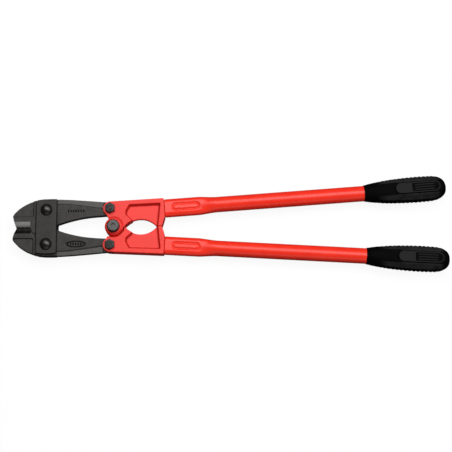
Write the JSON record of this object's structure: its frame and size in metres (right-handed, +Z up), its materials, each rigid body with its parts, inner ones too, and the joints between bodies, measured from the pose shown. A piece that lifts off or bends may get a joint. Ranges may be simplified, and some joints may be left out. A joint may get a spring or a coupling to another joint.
{
  "type": "bolt cutters",
  "caption": "Long-handled compound-action bolt cutters with forged jaws, strap plates, painted frames, tube handles and rubber grips.",
  "frame": {"origin": "under the middle of the tool's box, on the plane that the nuts' undersides and the tool rest on", "axes": "+X from the jaws towards the grips, +Y towards the upper handle, +Z up out of the tool's front face"},
  "size_m": [0.75, 0.1682, 0.0431],
  "materials": {
    "blade_steel": "dark phosphated forging, satin",
    "strap_steel": "dark phosphated plate, satin",
    "bolt_steel": "blackened steel, satin",
    "nut_steel": "blackened steel, satin",
    "frame_paint": "coral red paint on a forging, satin",
    "tube_paint": "orange red paint on steel tube, semi-gloss",
    "grip_rubber": "black moulded rubber"
  },
  "bodies": {
    "head": {"front_strap": "strap_steel", "back_strap": "strap_steel", "upper_jaw_bolt": "bolt_steel", "lower_jaw_bolt": "bolt_steel", "upper_jaw_washer": "nut_steel", "lower_jaw_washer": "nut_steel", "upper_jaw_nut": "nut_steel", "lower_jaw_nut": "nut_steel"},
    "upper_jaw": {"upper_blade": "blade_steel"},
    "lower_jaw": {"lower_blade": "blade_steel"},
    "upper_handle": {"upper_frame": "frame_paint", "upper_tube": "tube_paint", "upper_grip": "grip_rubber", "upper_link_bolt": "bolt_steel", "upper_link_washer": "nut_steel", "upper_link_nut": "nut_steel", "centre_bolt": "bolt_steel", "centre_washer": "nut_steel", "centre_nut": "nut_steel"},
    "lower_handle": {"lower_frame": "frame_paint", "lower_tube": "tube_paint", "lower_grip": "grip_rubber", "lower_link_bolt": "bolt_steel", "lower_link_washer": "nut_steel", "lower_link_nut": "nut_steel"}
  },
  "joints": [
    {"name": "upper_handle_swing", "type": "hinge", "parent": "upper_jaw", "child": "upper_handle", "pos_m": [-0.2072, 0.032, 0.0215], "axis": [0, 0, 1], "range_deg": [0, 57.5]},
    {"name": "lower_handle_swing", "type": "hinge", "parent": "lower_jaw", "child": "lower_handle", "pos_m": [-0.2072, -0.032, 0.0215], "axis": [0, 0, 1], "range_deg": [-57.5, 0]},
    {"name": "upper_jaw_swing", "type": "hinge", "parent": "head", "child": "upper_jaw", "pos_m": [-0.3162, 0.03, 0.0215], "axis": [0, 0, 1], "range_deg": [-7.6, 0]},
    {"name": "lower_jaw_swing", "type": "hinge", "parent": "head", "child": "lower_jaw", "pos_m": [-0.3162, -0.03, 0.0215], "axis": [0, 0, 1], "range_deg": [0, 7.6]}
  ],
  "couplings": [
    {"joint": "lower_handle_swing", "follows": "upper_handle_swing", "ratio": -1},
    {"joint": "upper_jaw_swing", "follows": "upper_handle_swing", "ratio": -0.1308},
    {"joint": "lower_jaw_swing", "follows": "upper_handle_swing", "ratio": 0.1308}
  ]
}
